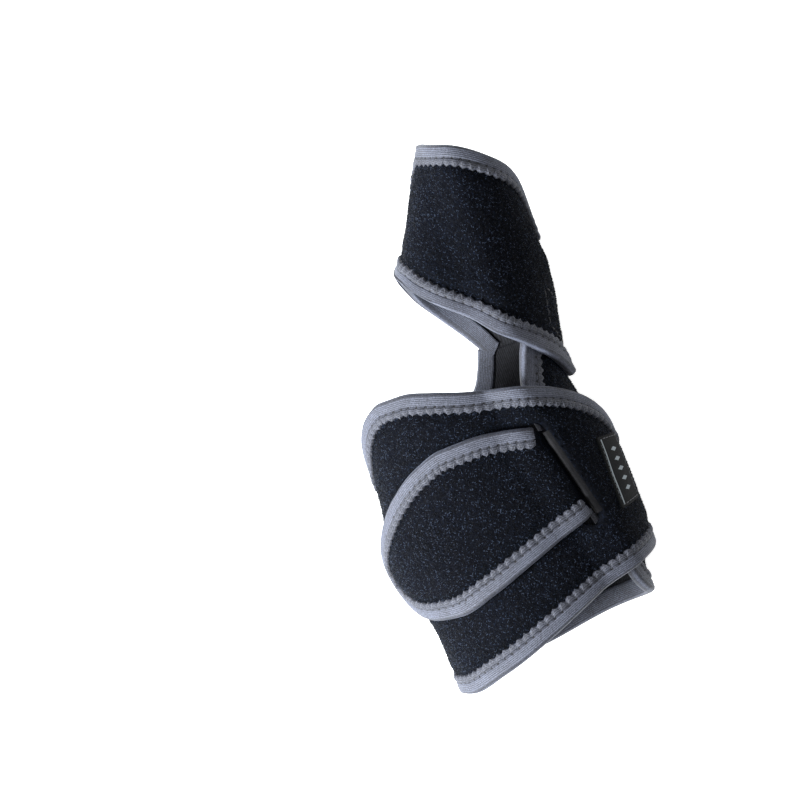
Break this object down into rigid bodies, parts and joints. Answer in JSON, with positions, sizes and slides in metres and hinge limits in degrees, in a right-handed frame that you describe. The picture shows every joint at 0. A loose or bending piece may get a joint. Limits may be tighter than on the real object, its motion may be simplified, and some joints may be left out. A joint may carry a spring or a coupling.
{
  "type": "wrist splint",
  "caption": "Soft wrap-around splint for the right wrist and thumb, with a slotted wrist band, a rounded closing tab, a thumb strap and shaped stays.",
  "frame": {"origin": "middle of the wearer's wrist, on the axis of the forearm opening", "axes": "+Z along the forearm towards the hand, -Y out of the palm side, +X towards the thumb side"},
  "size_m": [0.0853, 0.0569, 0.1705],
  "materials": {
    "plush": "brushed loop pile on foam rubber",
    "binding": "ribbed elastic tape",
    "thread": "sewing thread",
    "label_thread": "fine sewing thread",
    "hook": "moulded hook tape",
    "facing": "smooth folded jersey",
    "label": "fine woven satin",
    "sleeve_cloth": "woven nylon",
    "aluminium_strip": "satin rolled strip",
    "cap_plastic": "dipped soft plastic"
  },
  "bodies": {
    "wrap": {"main_panel": "plush", "main_binding_lower": "binding", "main_binding_upper": "binding", "thumb_back_panel": "plush", "thumb_back_binding_upper": "binding", "thumb_back_binding_lower": "binding", "neck_seam_stitching": "thread", "wrist_band": "plush", "band_binding": "binding", "slot_facing": "facing", "band_seam_stitching": "thread", "closing_strap": "plush", "closing_strap_stitching": "thread", "woven_label": "label", "label_stitching": "label_thread", "thumb_stay": "aluminium_strip", "thumb_stay_sleeve": "sleeve_cloth", "sleeve_stitching": "thread", "dorsal_pocket": "sleeve_cloth", "pocket_stitching": "thread"},
    "tab": {"closing_tab": "plush", "closing_tab_binding": "binding", "closing_tab_hook": "hook"},
    "thumb_flap": {"thumb_strap": "plush", "thumb_strap_binding_upper": "binding", "thumb_strap_binding_lower": "binding", "thumb_strap_hook": "hook", "thumb_strap_hook_stitching": "thread"},
    "back_stay": {"dorsal_stay": "aluminium_strip", "stay_end_caps": "cap_plastic"}
  },
  "joints": [
    {"name": "tab_peel", "type": "hinge", "parent": "wrap", "child": "tab", "pos_m": [0.01693, -0.02682, -0.0065], "axis": [-0.2597, -0.0903, 0.9614], "range_deg": [0, 120]},
    {"name": "thumb_strap_open", "type": "hinge", "parent": "wrap", "child": "thumb_flap", "pos_m": [0.0001, -0.004, 0.0895], "axis": [-0.5139, 0, -0.8578], "range_deg": [0, 90]},
    {"name": "back_stay_slide", "type": "slide", "parent": "wrap", "child": "back_stay", "axis": [0, 0, -1], "range_m": [0, 0.06]}
  ]
}
